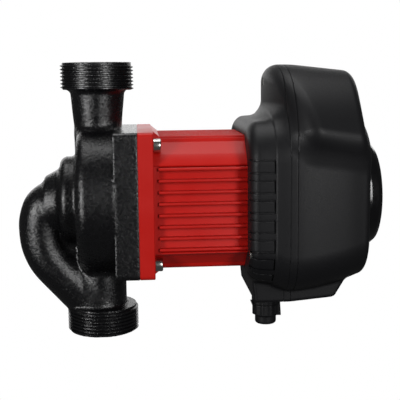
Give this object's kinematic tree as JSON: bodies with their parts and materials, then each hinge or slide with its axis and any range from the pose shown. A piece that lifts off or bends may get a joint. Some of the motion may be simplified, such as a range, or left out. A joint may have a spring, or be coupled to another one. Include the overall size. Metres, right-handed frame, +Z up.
{
  "type": "circulator pump",
  "caption": "In-line wet-rotor heating circulator: cast housing with two threaded ports in line, finned motor across it and a control box with display and keys.",
  "frame": {"origin": "centre of the lower port face, on the pipe axis", "axes": "+Z up the pipe axis towards the outlet, +X along the motor axis towards the control box, Y across the motor"},
  "size_m": [0.2383, 0.138, 0.18],
  "materials": {
    "cast_iron_paint": "black gloss paint over a rough sand casting",
    "red_paint": "red satin powder coat over die-cast aluminium",
    "zinc_steel": "bright zinc plated steel",
    "stainless": "deep drawn stainless sheet",
    "impeller_plastic": "glass filled moulding",
    "ceramic": "ground ceramic",
    "carbon": "ground carbon graphite",
    "lamination": "stacked electrical sheet",
    "magnet": "sintered magnet",
    "copper": "enamelled copper wire",
    "black_plastic": "fine textured moulding",
    "gloss_black": "polished moulding",
    "lens": "smoked clear window",
    "key_rubber": "soft touch key",
    "seal_rubber": "moulded rubber",
    "aluminium": "machined",
    "circuit_board": "solder resist over glass epoxy",
    "component_black": "moulded case",
    "component_sleeve": "shrunk plastic sleeve",
    "component_grey": "moulded case"
  },
  "bodies": {
    "pump": {"pump_housing": "cast_iron_paint", "wear_ring": "stainless", "front_bearing": "carbon", "rear_bearing": "carbon", "housing_seal": "seal_rubber", "bearing_plate": "stainless", "rotor_can": "stainless", "stator_core": "lamination", "stator_windings": "copper", "stator_housing": "red_paint", "flange_screws": "zinc_steel", "box_rear_shell": "black_plastic", "box_seal": "black_plastic", "box_front_cover": "black_plastic", "cover_screws": "zinc_steel", "heat_spreader": "aluminium", "control_board": "circuit_board", "capacitors": "component_sleeve", "choke": "copper", "relay": "component_grey", "power_module": "component_black", "terminal_block": "component_grey", "motor_plug": "component_grey", "display_bezel": "gloss_black", "control_panel": "gloss_black", "display_lens": "lens", "display_board": "circuit_board", "digit_display": "component_black", "key_switches": "component_black", "gland_body": "black_plastic", "gland_locknut": "black_plastic", "gland_nut": "black_plastic", "gland_seal": "seal_rubber"},
    "rotor": {"impeller": "impeller_plastic", "impeller_nut": "stainless", "shaft": "ceramic", "rotor_core": "lamination", "rotor_magnets": "magnet", "rotor_sleeve": "stainless", "thrust_bearing": "carbon"},
    "left_key": {"left_key": "key_rubber"},
    "middle_key": {"middle_key": "key_rubber"},
    "right_key": {"right_key": "key_rubber"}
  },
  "joints": [
    {"name": "rotor_spin", "type": "hinge", "parent": "pump", "child": "rotor", "pos_m": [0.05, 0, 0.09], "axis": [1, 0, 0], "continuous": true},
    {"name": "left_key_press", "type": "slide", "parent": "pump", "child": "left_key", "axis": [-1, 0, 0], "range_m": [0, 0.0008], "stiffness_N_per_m": 600, "springref_m": -0.0008},
    {"name": "middle_key_press", "type": "slide", "parent": "pump", "child": "middle_key", "axis": [-1, 0, 0], "range_m": [0, 0.0008], "stiffness_N_per_m": 600, "springref_m": -0.0008},
    {"name": "right_key_press", "type": "slide", "parent": "pump", "child": "right_key", "axis": [-1, 0, 0], "range_m": [0, 0.0008], "stiffness_N_per_m": 600, "springref_m": -0.0008}
  ]
}
